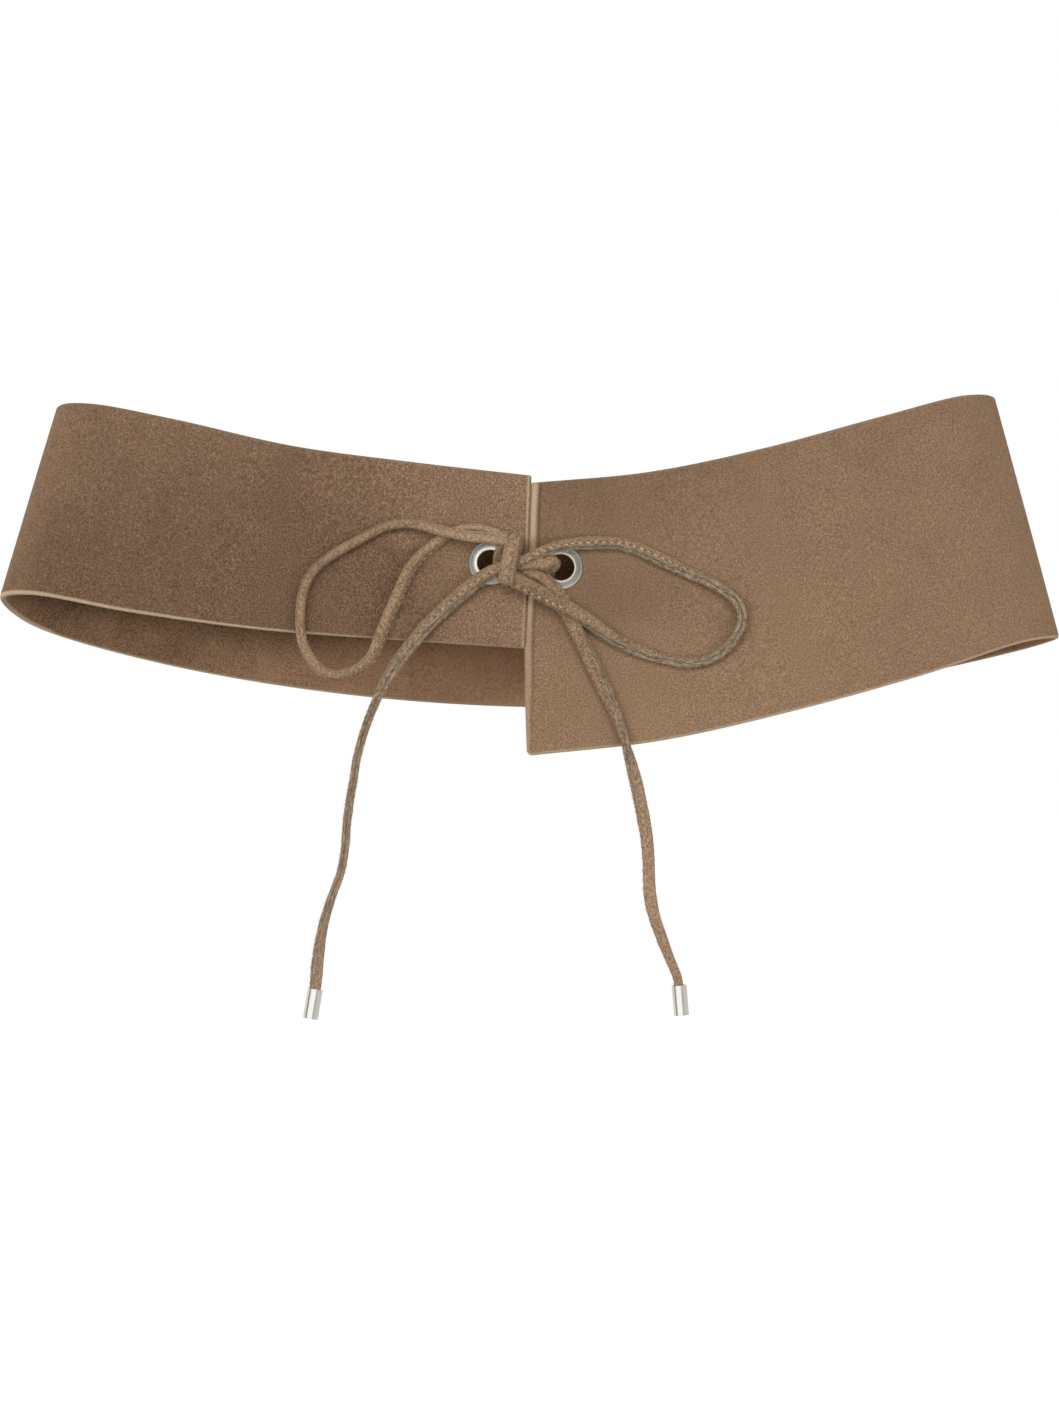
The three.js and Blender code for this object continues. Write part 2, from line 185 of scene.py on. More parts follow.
def eased(run, stops):
    """A column of values read off straight lines between (share of the way, value) stops, and softened by
    taking the mean over 25 steps."""
    shares, values = np.array(stops, float).T
    read = np.interp(run / run[-1], shares, values)
    return np.convolve(np.pad(read, 12, mode="edge"), np.ones(25) / 25, mode="valid")[:, None]


def lace_frame(line, run, twist, towards=(0, -1, 0)):
    """Directions along the lace, towards its cut side and out of its face. The cut side is turned about the
    run of the lace by the twist, from level with the picture towards the given direction."""
    along = unit(np.gradient(line, axis=0))
    level = unit(np.cross(along, towards))
    raised = np.cross(level, along)
    turn = np.radians(eased(run, twist))
    cut = level * np.cos(turn) + raised * np.sin(turn)
    return along, cut, np.cross(cut, along)


def wobble(places, pitch, seed):
    """A smooth random wave between -1 and 1: random heights a pitch apart, joined by eased steps."""
    heights = np.random.default_rng(seed).uniform(-1, 1, 4096)
    cell = np.floor(places / pitch).astype(int)
    share = places / pitch - cell
    share = share * share * (3 - 2 * share)
    return heights[cell % 4096] * (1 - share) + heights[(cell + 1) % 4096] * share


def closed_skin(name, rings, joined=False):
    """A closed mesh over rows of points in millimetres: each row is a ring, neighbours are joined by
    squares, and the end rings by squares or a fan each. It is turned so that its volume is positive."""
    rows, count = rings.shape[:2]
    index = np.arange(rows * count).reshape(rows, count)
    here, there = (index, np.roll(index, -1, 0)) if joined else (index[:-1], index[1:])
    squares = np.stack([here, np.roll(here, -1, 1), np.roll(there, -1, 1), there], -1).reshape(-1, 4)
    points = rings.reshape(-1, 3) * MM
    faces = squares.tolist()
    if not joined:
        points = np.vstack([points, rings[0].mean(0) * MM, rings[-1].mean(0) * MM])
        first = np.stack([np.roll(index[0], -1), index[0], np.full(count, rows * count)], 1)
        last = np.stack([index[-1], np.roll(index[-1], -1), np.full(count, rows * count + 1)], 1)
        faces += first.tolist() + last.tolist()
    a, b, c, d = (points[squares[:, k]] for k in range(4))
    volume = (np.cross(a, b) * c).sum() + (np.cross(a, c) * d).sum()
    if volume < 0:
        faces = [face[::-1] for face in faces]
    mesh = bpy.data.meshes.new(name)
    mesh.from_pydata(points.tolist(), [], faces)
    mesh.shade_smooth()
    piece = bpy.data.objects.new(name, mesh)
    bpy.context.scene.collection.objects.link(piece)
    return piece


def mark(piece, name, values):
    """Stores one number for each vertex under a name that the piece's material reads."""
    full = np.zeros(len(piece.data.vertices), np.float32)
    full[:values.size] = values.ravel()
    piece.data.attributes.new(name, "FLOAT", "POINT").data.foreach_set("value", full)


def folded_lace(name, line, run, frame_of_lace, seed, size, rub_and_painted_light, shown, frayed, joined=False):
    """The lace's section carried along the line. The faces dip between the stitches, the cut layers are
    ragged by a few tenths of a millimetre, and the whole width varies a little."""
    along, cut, face = frame_of_lace
    across, proud, edge = np.vstack([LACE_SECTION, LACE_SECTION[:0:-1] * (1, -1, 1)]).T
    s = run[:, None]
    between = (0.5 - 0.5 * np.cos(2 * np.pi * (s - 1) / STITCH_PITCH)) ** 2
    hole = np.exp(-((across - STITCH_LINE) / 0.5) ** 2) * between * shown
    width = (1 + 0.04 * wobble(s, 9, seed)) * size
    ragged = 0.2 * wobble(s + 40 * across, 0.9, seed + 1) + 0.14 * wobble(s + 90 * proud, 2.6, seed + 2)
    lump = 0.07 * wobble(s + 31 * across, 2.3, seed + 4) + 0.05 * wobble(s + 57 * across, 1.1, seed + 5)
    thick = proud * (1 + 0.04 * wobble(s + 25, 6, seed + 3))
    u = across * width + edge * ragged
    v = (thick - np.sign(proud) * (0.2 * hole + (1 - edge) * lump)) * size
    rings = line[:, None] + u[..., None] * cut[:, None] + v[..., None] * face[:, None]
    piece = closed_skin(name, rings, joined)
    for label, values in (("cut_edge", edge * frayed), ("rub_and_painted_light", rub_and_painted_light), ("stitch_hole", hole),
                          ("along", s), ("across", across), ("proud", proud)):
        mark(piece, label, np.broadcast_to(values, u.shape))
    return piece


def dressed(piece, material, slot, *nodes):
    """Gives a piece its material, sets it to ride with the belt, and stands it for CAD nodes. The slot is
    not used.
    """
    piece.data.materials.append(material)
    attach(piece, "root")
    if nodes:
        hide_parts(*nodes)
    return piece


def linear(colour):
    """An sRGB hex colour as linear red, green and blue with full opacity."""
    channels = [int(colour[k:k + 2], 16) / 255 for k in (1, 3, 5)]
    return [c / 12.92 if c <= 0.04045 else ((c + 0.055) / 1.055) ** 2.4 for c in channels] + [1]


def new_material(name, finish):
    """A material whose principled shader has the finish's even values, with its node tree and shader."""
    material = bpy.data.materials.new(name)
    material.use_nodes = True
    shader = material.node_tree.nodes["Principled BSDF"]
    for socket, value in finish.items():
        shader.inputs[socket].default_value = value
    return material, material.node_tree, shader


def add_node(tree, kind, inputs, **settings):
    """Adds a node with its settings, and fills its inputs with values or with links from other sockets."""
    node = tree.nodes.new("ShaderNode" + kind)
    for key, value in settings.items():
        setattr(node, key, value)
    for key, value in inputs.items():
        if isinstance(value, bpy.types.NodeSocket):
            tree.links.new(value, node.inputs[key])
        else:
            node.inputs[key].default_value = value
    return node


# Napped split suede: a matt tan nap with a speckle, and at the cut layers pale grey-olive fibre in streaks
# that run along the lace. Real tufts and fibres are too fine to show here, so tufts are drawn 1 mm across,
# fibre streaks 2 mm long and half a millimetre wide, and drifts of colour 8 mm across.
lace_suede, tree, shader = new_material("napped_suede_cord", {
    "Roughness": 0.95, "Specular IOR Level": 0.2, "Sheen Weight": 0.2, "Sheen Roughness": 0.5,
    "Sheen Tint": linear("#e2cdb2")})
place = add_node(tree, "TexCoord", {}).outputs["Object"]
cut_edge, rub_and_light, hole, along_lace, across_lace, proud_lace = (
    add_node(tree, "Attribute", {}, attribute_name=label).outputs["Fac"]
    for label in ("cut_edge", "rub_and_painted_light", "stitch_hole", "along", "across", "proud"))
tufts = add_node(tree, "TexNoise", {
    "Vector": place, "Scale": 1000, "Detail": 3, "Roughness": 0.7}).outputs["Fac"]
patches = add_node(tree, "TexNoise", {"Vector": place, "Scale": 120, "Detail": 2}).outputs["Fac"]
strand_place = add_node(tree, "CombineXYZ", {0: along_lace, 1: across_lace, 2: proud_lace}).outputs[0]
drawn_out = add_node(tree, "Mapping", {"Vector": strand_place, "Scale": (0.5, 2, 2)}).outputs[0]
streaks = add_node(tree, "TexNoise", {
    "Vector": drawn_out, "Scale": 1, "Detail": 3, "Roughness": 0.65}).outputs["Fac"]
speckle = add_node(tree, "MapRange", {
    "Value": tufts, "From Min": 0.42, "From Max": 0.58}).outputs["Result"]
drift = add_node(tree, "MapRange", {"Value": patches, "From Min": 0.3, "From Max": 0.7}).outputs["Result"]
split = add_node(tree, "MapRange", {"Value": streaks, "From Min": 0.4, "From Max": 0.6}).outputs["Result"]
nap = add_node(tree, "Mix", {
    "Factor": speckle, 6: linear("#7b5f4a"), 7: linear("#c4a587")}, data_type="RGBA").outputs[2]
warm = add_node(tree, "Mix", {
    "Factor": drift, 6: linear("#836f50"), 7: linear("#bb956f")}, data_type="RGBA").outputs[2]
face_tone = add_node(tree, "Mix", {"Factor": 0.3, 6: nap, 7: warm}, data_type="RGBA").outputs[2]
fibre_tone = add_node(tree, "Mix", {
    "Factor": drift, 6: linear("#bcae94"), 7: linear("#ccb197")}, data_type="RGBA").outputs[2]
layers = add_node(tree, "Mix", {
    "Factor": split, 6: linear("#645545"), 7: fibre_tone}, data_type="RGBA").outputs[2]
unworn = add_node(tree, "Mix", {"Factor": cut_edge, 6: face_tone, 7: layers}, data_type="RGBA").outputs[2]

# Rubbing makes the faces paler, and the cut layers only a little. Nap that is brushed down is darker. The
# same values also paint light on the left loop's shaded arch and paint shade at the start of the right tail.
pale_nap = add_node(tree, "Mix", {
    "Factor": speckle, 6: linear("#9e7f66"), 7: linear("#ccae92")}, data_type="RGBA").outputs[2]
uncut = add_node(tree, "Math", {0: cut_edge, 1: -0.8, 2: 1}, operation="MULTIPLY_ADD").outputs[0]
face_paling = add_node(tree, "Math", {0: rub_and_light, 1: uncut}, operation="MULTIPLY").outputs[0]
paler = add_node(tree, "Mix", {
    "Factor": face_paling, 6: unworn, 7: pale_nap}, data_type="RGBA", clamp_factor=True).outputs[2]
darkening = add_node(tree, "Math", {0: rub_and_light, 1: -1}, operation="MULTIPLY").outputs[0]
darkened_tone = add_node(tree, "Mix", {
    "Factor": darkening, 6: paler, 7: linear("#4f4230")}, data_type="RGBA", clamp_factor=True).outputs[2]

# Painted shade: the needle holes between the stitches are drawn dark, and rubbed nap closes over them
still_open = add_node(tree, "Math", {
    0: rub_and_light, 1: -1.4, 2: 0.85}, operation="MULTIPLY_ADD", use_clamp=True).outputs[0]
hole_shade = add_node(tree, "Math", {0: hole, 1: still_open}, operation="MULTIPLY").outputs[0]
surface = add_node(tree, "Mix", {
    "Factor": hole_shade, 6: darkened_tone, 7: linear("#57391f")}, data_type="RGBA").outputs[2]
relief = add_node(tree, "Math", {0: tufts, 1: streaks}, operation="ADD").outputs[0]
bump = add_node(tree, "Bump", {"Height": relief, "Strength": 0.8, "Distance": 0.0005}).outputs["Normal"]
tree.links.new(surface, shader.inputs["Base Color"])
tree.links.new(bump, shader.inputs["Normal"])

# The lace is left out of what the metal mirrors, where it would read as a stain
strands = []
for name, node, route, (twist, size, rub_and_painted_light, showing, frayed), seed in (
    ("left_loop", "lace_loop_left", LEFT_LOOP, LEFT_LOOP_SHAPE, 11),
    ("right_loop", "lace_loop_right", RIGHT_LOOP, RIGHT_LOOP_SHAPE, 23),
    ("left_tail", "lace_tail_left", LEFT_TAIL, LEFT_TAIL_SHAPE, 37),
    ("right_tail", "lace_tail_right", RIGHT_TAIL, RIGHT_TAIL_SHAPE, 53),
):
    line, run = even_line(route, LACE_STEP)
    directions = lace_frame(line, run, twist)
    sizes, shown = eased(run, size), eased(run, showing)
    piece = folded_lace(name, line, run, directions, seed, sizes, eased(run, rub_and_painted_light), shown, frayed)
    dressed(piece, lace_suede, "lace_suede", node)
    piece.visible_glossy = False
    strands.append((piece, line, run, directions, sizes, shown))

# The tips are short tubes of polished silver-coloured metal, pushed over the ends of the lace and open
# below. Their walls are half a millimetre thick, with rounded ends, and each leans with its lace.
TIP_LENGTH = 13.7
TIP_RADIUS = 3.5
TIP_BORE = 2.95
TIP_LIP = 0.22


def turned_ring(profile, sides):
    """A closed profile of (radius, height) spun about the Z axis, as one ring of points for each side."""
    radius, height = np.array(profile, float).T
    angle = np.linspace(0, 2 * np.pi, sides, endpoint=False)[:, None]
    level = np.broadcast_to(height, (sides, len(height)))
    return np.stack([radius * np.cos(angle), radius * np.sin(angle), level], -1)


def lip(radius_in, radius_out, height, rounding, sign):
    """The rounded end of a tube's wall, as eight points of (radius, height): a quarter circle up from its
    inside and one down to its outside, with the sign 1 for an upper end and -1 for a lower one."""
    a = np.linspace(0, np.pi / 2, 4)
    inwards = rounding * (1 - np.cos(a))
    level = height - sign * rounding * (1 - np.sin(a))
    inner = np.stack([radius_in + inwards, level], 1)
    outer = np.stack([radius_out - inwards, level], 1)[::-1]
    return np.vstack([inner, outer])


# Polished silver plate mirrors the studio sharply, apart from faint scuffs 2 mm across
silver, tree, shader = new_material("polished_silver_plate", {
    "Metallic": 1, "Base Color": linear("#dcdad2")})
place = add_node(tree, "TexCoord", {}).outputs["Object"]
scuffs = add_node(tree, "TexNoise", {"Vector": place, "Scale": 420, "Detail": 3}).outputs["Fac"]
gloss = add_node(tree, "MapRange", {
    "Value": scuffs, "From Min": 0.35, "From Max": 0.7, "To Min": 0.06, "To Max": 0.13}).outputs["Result"]
bump = add_node(tree, "Bump", {"Height": scuffs, "Strength": 0.08, "Distance": 0.0004}).outputs["Normal"]
tree.links.new(gloss, shader.inputs["Roughness"])
tree.links.new(bump, shader.inputs["Normal"])

for name, node, mouth, tilt in (
    ("left_tip", "tip_left", (-97.1, -48.4, -187.7), -0.167),
    ("right_tip", "tip_right", (67.8, -48.4, -186.1), 0.083),
):
    profile = np.vstack([
        lip(TIP_BORE, TIP_RADIUS, 0, TIP_LIP, 1),
        np.stack([np.full(9, TIP_RADIUS), np.linspace(-0.8, 0.8 - TIP_LENGTH, 9)], 1),
        lip(TIP_BORE, TIP_RADIUS, -TIP_LENGTH, TIP_LIP, -1)[::-1],
        np.stack([np.full(5, TIP_BORE), np.linspace(1 - TIP_LENGTH, -1, 5)], 1),
    ])
    rings = turned_ring(profile, 64)
    lean = np.array([[math.cos(tilt), 0, -math.sin(tilt)], [0, 1, 0], [math.sin(tilt), 0, math.cos(tilt)]])
    piece = closed_skin(name, rings @ lean.T + mouth, joined=True)
    dressed(piece, silver, "tip_metal", node)

# The knot: the lace wraps once round the crossing strands, and one strand runs on through both eyelets
# behind the belt.
KNOT_MIDDLE = np.array([-8.3, -53.4, 7])
KNOT_LEAN = 0.2
WRAP_TURN = math.radians(10)
WRAP_HALF_HEIGHT = 10.1
WRAP_HALF_DEPTH = 4.5
CORE_HALF = (2.6, 3, 8)
HIDDEN_STRAND = [
    (-9.5, -52.8, 13.6), (-11.8, -53, 13.2), (-13.4, -52.6, 11.2), (-14, -51.2, 8.6), (-14.3, -48.6, 6.4),
    (-14.3, -45.5, 5.6), (-14.1, -42.2, 5.3), (-13, -39.4, 5), (-10.6, -37.9, 4.8), (-6, -37.5, 4.5),
    (0, -37.5, 4.2), (5, -37.8, 4), (8.4, -38.5, 4), (10.6, -40.6, 4), (11, -43.5, 4), (10.8, -47, 4.2),
    (9.6, -49.8, 5.2), (5.2, -50.8, 5.4), (0, -50.8, 5.4), (-3.6, -50.8, 5.2), (-8, -51.4, 5.6),
]
HIDDEN_TWIST = [(0, 175), (0.3, 175), (0.45, 110), (0.64, 110), (0.76, 185), (0.85, 205), (1, 200)]
CRUMPLE_HEIGHT = 0.75
CRUMPLE_PITCH = 5.5
CRUMPLE_FADE = 0.06


def crumple(run, start, end):
    """A wave along the lace, in millimetres: a sine of the way along, faded in after start and out before
    end, which are shares of the way."""
    share = run / run[-1]
    held = np.clip((share - start) / CRUMPLE_FADE, 0, 1) * np.clip((end - share) / CRUMPLE_FADE, 0, 1)
    return CRUMPLE_HEIGHT * held * np.sin(2 * np.pi * run / CRUMPLE_PITCH)


# The hidden strand is crumpled where it comes out of the right eyelet, mostly up and down
line, run = even_line(HIDDEN_STRAND, LACE_STEP)
line = line + crumple(run, 0.58, 0.9)[:, None] * np.array([0.35, 0.2, 1])
directions = lace_frame(line, run, HIDDEN_TWIST, towards=(0, 0, -1))
sizes = eased(run, [(0, 0.85), (0.3, 0.8), (0.45, 1), (0.62, 1), (0.72, 1.15), (0.8, 1.7), (0.9, 1.6),
                    (1, 1.4)])
shown = eased(run, [(0, 0.3), (0.4, 1), (0.7, 1), (0.8, 0.4), (1, 0.4)])
piece = folded_lace("hidden_strand", line, run, directions, 71, sizes, 0, shown, 0.6)
dressed(piece, lace_suede, "lace_suede", "lace_back")
strands.append((piece, line, run, directions, sizes, shown))

upright = np.array([math.sin(KNOT_LEAN), 0, math.cos(KNOT_LEAN)])
sideways = unit(np.array([math.cos(WRAP_TURN), -math.sin(WRAP_TURN), 0]))
sideways = unit(sideways - upright * (sideways @ upright))
forwards = np.cross(sideways, upright)


def oval_line(half_depth, half_height, count):
    """Points round an upright oval in the knot's own depth and height, a little squarer than an ellipse."""
    angle = np.linspace(0, 2 * np.pi, count, endpoint=False)[:, None]
    height = np.sign(np.cos(angle)) * np.abs(np.cos(angle)) ** 0.8
    depth = np.sign(np.sin(angle)) * np.abs(np.sin(angle)) ** 0.8
    return half_height * height * upright + half_depth * depth * forwards


# The wrap is one closed ring of the lace, spread wide where it is pulled tight and narrower over its top
line = KNOT_MIDDLE + oval_line(WRAP_HALF_DEPTH, WRAP_HALF_HEIGHT, 96)
run = np.concatenate([[0], np.cumsum(np.linalg.norm(np.diff(line, axis=0), axis=1))])
along = unit(np.roll(line, -1, 0) - np.roll(line, 1, 0))
cut = np.broadcast_to(sideways, along.shape)
directions = along, cut, np.cross(cut, along)
round_wrap = np.linspace(0, 2 * np.pi, len(run), endpoint=False)
sizes = (1.3 - 0.38 * np.clip(np.cos(round_wrap), 0, 1) ** 2)[:, None]
piece = folded_lace("knot", line, run, directions, 83, sizes, 0.22, 1, 0.3, joined=True)
dressed(piece, lace_suede, "lace_suede", "lace_knot")
strands.append((piece, line, run, directions, sizes, None))

# The crossing strands inside the wrap, pressed into one lump whose sides round over
bulge = np.linspace(-1, 1, 13)[:, None, None]
inner = oval_line(CORE_HALF[1], CORE_HALF[2], 72)[None]
folds = 1 + 0.05 * np.sin(5 * np.linspace(0, 2 * np.pi, 72, endpoint=False))[None, :, None]
rings = KNOT_MIDDLE + CORE_HALF[0] * bulge * sideways + inner * (1 - 0.3 * np.abs(bulge) ** 4) * folds
core = closed_skin("knot_core", rings)
mark(core, "cut_edge", np.full(rings.shape[:2], 0.15))
mark(core, "along", np.broadcast_to(np.linspace(0, 60, 72), rings.shape[:2]))
mark(core, "across", np.broadcast_to(2.5 * bulge[..., 0], rings.shape[:2]))
dressed(core, lace_suede, "lace_suede", "lace_knot")

# The stitches: short slanted lengths of waxed tan thread on both faces of the lace, sunk at both ends. Where
# the nap closes over them they lie lower and are drawn smaller.
STITCH_HALF = 1.4
STITCH_SLANT = 0.3
STITCH_HEIGHT = 1.58
STITCH_RISE = 0.2
LEAST_SHOWN = 0.4
THREAD_RADIUS = 0.33


def stitch_shape():
    """One stitch of 20 points along its own x: three rings of six that swell to the middle, and two ends."""
    x = np.array([-1, -0.55, 0, 0.55, 1]) * STITCH_HALF
    radius = THREAD_RADIUS * np.array([0, 0.85, 1, 0.85, 0])
    angle = np.arange(6) * np.pi / 3
    sag = -0.3 * (x / STITCH_HALF) ** 2
    rings = np.stack([np.broadcast_to(x[1:4, None], (3, 6)), radius[1:4, None] * np.cos(angle),
                      radius[1:4, None] * np.sin(angle) * 0.8 + sag[1:4, None]], -1).reshape(-1, 3)
    points = np.vstack([rings, [(x[0], 0, sag[0]), (x[4], 0, sag[4])]])
    k = np.arange(6)
    n = (k + 1) % 6
    squares = np.vstack([np.stack([r + k, r + n, r + 6 + n, r + 6 + k], 1) for r in (0, 6)])
    ends = np.vstack([np.stack([n, k, np.full(6, 18)], 1), np.stack([12 + k, 12 + n, np.full(6, 19)], 1)])
    return points, squares, ends


shape, squares, ends = stitch_shape()
placed = []
for _, line, run, (along, cut, face), sizes, shown in strands[:5]:
    pick = np.clip(np.searchsorted(run, np.arange(1.0, run[-1] - 0.5, STITCH_PITCH)), 1, len(run) - 2)
    for side in (1, -1):
        out = face[pick] * side
        slant = unit(along[pick] + STITCH_SLANT * side * cut[pick])
        over = np.cross(out, slant)
        height = STITCH_HEIGHT + STITCH_RISE * shown[pick]
        middle = line[pick] + (cut[pick] * STITCH_LINE + out * height) * sizes[pick]
        stitch = shape * (LEAST_SHOWN + (1 - LEAST_SHOWN) * shown[pick, None])
        placed.append(middle[:, None] + stitch[..., :1] * slant[:, None] + stitch[..., 1:2] * over[:, None]
                      + stitch[..., 2:] * out[:, None])
placed = np.concatenate(placed)
offsets = np.arange(len(placed))[:, None, None] * len(shape)
mesh = bpy.data.meshes.new("stitches")
mesh.from_pydata((placed.reshape(-1, 3) * MM).tolist(), [],
                 (squares + offsets).reshape(-1, 4).tolist() + (ends + offsets).reshape(-1, 3).tolist())
mesh.shade_smooth()
stitches = bpy.data.objects.new("stitches", mesh)
bpy.context.scene.collection.objects.link(stitches)

# Waxed polyester thread: a pale warm tan, with a slight gloss that catches the eye against the matt suede
thread, tree, shader = new_material("waxed_thread", {"Roughness": 0.5})
place = add_node(tree, "TexCoord", {}).outputs["Object"]
twine = add_node(tree, "TexNoise", {"Vector": place, "Scale": 700, "Detail": 1})
colour = add_node(tree, "Mix", {
    "Factor": twine.outputs["Fac"], 6: linear("#c29f72"), 7: linear("#f2ddb8")}, data_type="RGBA").outputs[2]
tree.links.new(colour, shader.inputs["Base Color"])
dressed(stitches, thread, "lace_suede")

# Loose fibres of split suede stand out of the lace all over, and most of all along its cut layers. Each is a
# straight three-sided spike, drawn some 0.2 mm thick at its foot, as coarse as it needs to be to show.
FIBRES_PER_MM = 11
CUT_SIDE_SHARE = 0.55
CUT_SIDE_LENGTH = 1.2
FACE_LENGTH = 0.7
FIBRE_RADIUS = 0.12
FIBRE_ROOT = 0.97
fibre_dice = np.random.default_rng(5)
roots, fibre_ends = [], []
for _, line, run, (along, cut, face), sizes, _ in strands:
    count = int(run[-1] * FIBRES_PER_MM)
    at = fibre_dice.integers(1, len(run) - 1, count)
    frayed_side = fibre_dice.random(count) < CUT_SIDE_SHARE
    corner = LACE_SECTION[fibre_dice.integers(0, len(LACE_SECTION), count)]
    corner[frayed_side] = LACE_SECTION[fibre_dice.integers(2, 7, frayed_side.sum())]
    u, v = corner[:, :1], corner[:, 1:2] * fibre_dice.choice([-1, 1], count)[:, None]
    out = unit(cut[at] * u / (LACE_WIDTH / 2) + face[at] * v / (LACE_THICKNESS / 2))
    forwards_lean = along[at] * fibre_dice.normal(0, 0.8, (count, 1))
    sideways_lean = cut[at] * fibre_dice.normal(0, 0.35, (count, 1))
    longest = np.where(frayed_side, CUT_SIDE_LENGTH, FACE_LENGTH)[:, None]
    length = longest * fibre_dice.uniform(0.4, 1.2, (count, 1))
    root = line[at] + (cut[at] * u + face[at] * v) * sizes[at] * FIBRE_ROOT
    roots.append(root)
    fibre_ends.append(root + unit(out + forwards_lean + sideways_lean) * length)
roots, fibre_ends = np.concatenate(roots), np.concatenate(fibre_ends)
run_of_fibre = unit(fibre_ends - roots)
side_of_fibre = unit(np.cross(run_of_fibre, (0.3, 0.5, 0.81)))
other_side = np.cross(run_of_fibre, side_of_fibre)
angle = np.arange(3)[:, None] * 2 * np.pi / 3
round_foot = np.cos(angle) * side_of_fibre[:, None] + np.sin(angle) * other_side[:, None]
spikes = np.concatenate([roots[:, None] + FIBRE_RADIUS * round_foot, fibre_ends[:, None]], 1)
corners = np.array([(0, 1, 3), (1, 2, 3), (2, 0, 3), (2, 1, 0)])
mesh = bpy.data.meshes.new("loose_fibres")
mesh.from_pydata((spikes.reshape(-1, 3) * MM).tolist(), [],
                 (corners + 4 * np.arange(len(spikes))[:, None, None]).reshape(-1, 3).tolist())
loose_fibres = bpy.data.objects.new("loose_fibres", mesh)
bpy.context.scene.collection.objects.link(loose_fibres)

# Single suede fibres let light through, so they look paler than the nap that they stand on
fibre, tree, shader = new_material("loose_suede_fibre", {"Roughness": 0.9})
place = add_node(tree, "TexCoord", {}).outputs["Object"]
mixed = add_node(tree, "TexNoise", {"Vector": place, "Scale": 500, "Detail": 1})
colour = add_node(tree, "Mix", {
    "Factor": mixed.outputs["Fac"], 6: linear("#8f7758"), 7: linear("#dcc7a4")}, data_type="RGBA").outputs[2]
tree.links.new(colour, shader.inputs["Base Color"])
dressed(loose_fibres, fibre, "lace_suede")

# The belt itself: two layers of suede glued back to back, cut to a curve and folded round the waist at both
# sides. Its ends meet at the front, each with a hole punched for its eyelet. Its raw edges are rubbed pale.
WALL = 2.8
SECTIONS = np.array([
    # From the left end round the back to the right end: depth, top x, top z, bottom x, bottom z, and how the
    # nap lies at the top and the bottom, where 0 is brushed dark and 1 is light. On the back rows the dark
    # top values are painted shade in the hollow seen through the eyelet holes.
    (-44, 0.7, 45.3, -1.9, -33.5, 0.75, 0.75),
    (-44, -53.5, 51.5, -61, -29.5, 0.50, 0.43),
    (-43.5, -107.5, 58.8, -121, -25, 0.25, -0.32),
    (-40, -161.5, 71.2, -181, -17, 0.42, -0.25),
    (-26, -202, 79.5, -228.5, -8.5, 0.45, 0),
    (0, -219.2, 79.3, -246.4, -10.2, 0.60, 0.50),
    (26, -207.5, 67.5, -235.2, -21.6, 0, 0.2),
    (40, -155.5, 53.5, -177, -39, -0.2, 0.36),
    (45, -76.5, 44.5, -89.5, -53.8, -0.3, 0.58),
    (46, 0, 42.5, -1.5, -60, -0.3, 0.9),
    (45, 77, 47.5, 84.5, -58, -0.2, 0.7),
    (40, 153.5, 61, 172.5, -46.5, 0, 0.5),
    (24, 203.5, 75.5, 231, -33.5, 0.50, 0.50),
    (0, 216, 84, 246, -28.2, 0.85, 0.9),
    (-24, 200, 83.5, 226, -30.6, 0.8, 0.9),
    (-40, 160, 72.4, 180, -45.2, 0.75, 0.85),
    (-43.5, 106.5, 57.8, 119.5, -61.9, 0.66, 0.95),
    (-44, 54.5, 47, 59.5, -75.3, 0.4, 1.1),
    (-44, 1.2, 42, -1, -82.2, 0.25, 1.1),
])
LAST = len(SECTIONS) - 1
FACE_ROWS = 46
EDGE_ROWS = 9
EYELETS = [("left_eyelet", "eyelet_left", -17.7, 5.5), ("right_eyelet", "eyelet_right", 14.3, 3.5)]
PANEL_DEPTH = -44
HOLE_RADIUS = 7.1
PUNCH_REACH = 6
TOP_CORNER = 0.9
FREE_CORNER = 2.8

near_end = np.array([0, 0.12, 0.3, 0.55, 0.85, 1.2, 1.6, 2.05, 2.5, 3, 3.5, 4, 4.6, 5.3, 6.2, 7.4]) / 54
at = np.concatenate([near_end, np.linspace(9 / 54, LAST - 9 / 54, 440), LAST - near_end[::-1]])
top = curve_through(SECTIONS[:, [1, 0, 2]], at)
bottom = curve_through(SECTIONS[:, [3, 0, 4]], at)
nap_and_light_rows = np.stack([np.interp(at, np.arange(LAST + 1), SECTIONS[:, k]) for k in (5, 6)], 1)
along = unit(unit(np.gradient(top, at, axis=0)) + unit(np.gradient(bottom, at, axis=0)))
down = unit(bottom - top)
outwards = unit(np.cross(-down, along))
middle_line = (top + bottom) / 2
run = np.concatenate([[0], np.cumsum(np.linalg.norm(np.diff(middle_line, axis=0), axis=1))])
tall = np.linalg.norm(bottom - top, axis=1)[:, None]


def quarter_round(distance, radius):
    """How far a rounded corner stands back from its square, at a distance from the side that it meets."""
    inside = np.clip(radius - distance, 0, radius)
    return radius - np.sqrt(radius ** 2 - np.minimum(inside, 0.9995 * radius) ** 2)


left_run, right_run = run[:, None], run[-1] - run[:, None]
from_end = np.minimum(left_run, right_run)
corner_top = quarter_round(from_end, TOP_CORNER)
corner_low = np.where(left_run < right_run, corner_top, quarter_round(from_end, FREE_CORNER))

# Round the wall's section: down the outside, round the bottom edge, up the inside and round the top edge
share = np.linspace(0, 1, FACE_ROWS)
share = share - 0.125 * np.sin(2 * np.pi * share)
turn = np.linspace(0, np.pi, EDGE_ROWS)[1:-1]
ones = np.ones(FACE_ROWS)
side = np.concatenate([ones, np.cos(turn), -ones, -np.cos(turn)])
level = np.concatenate([share, ones[:EDGE_ROWS - 2], 1 - share, 0 * ones[:EDGE_ROWS - 2]])

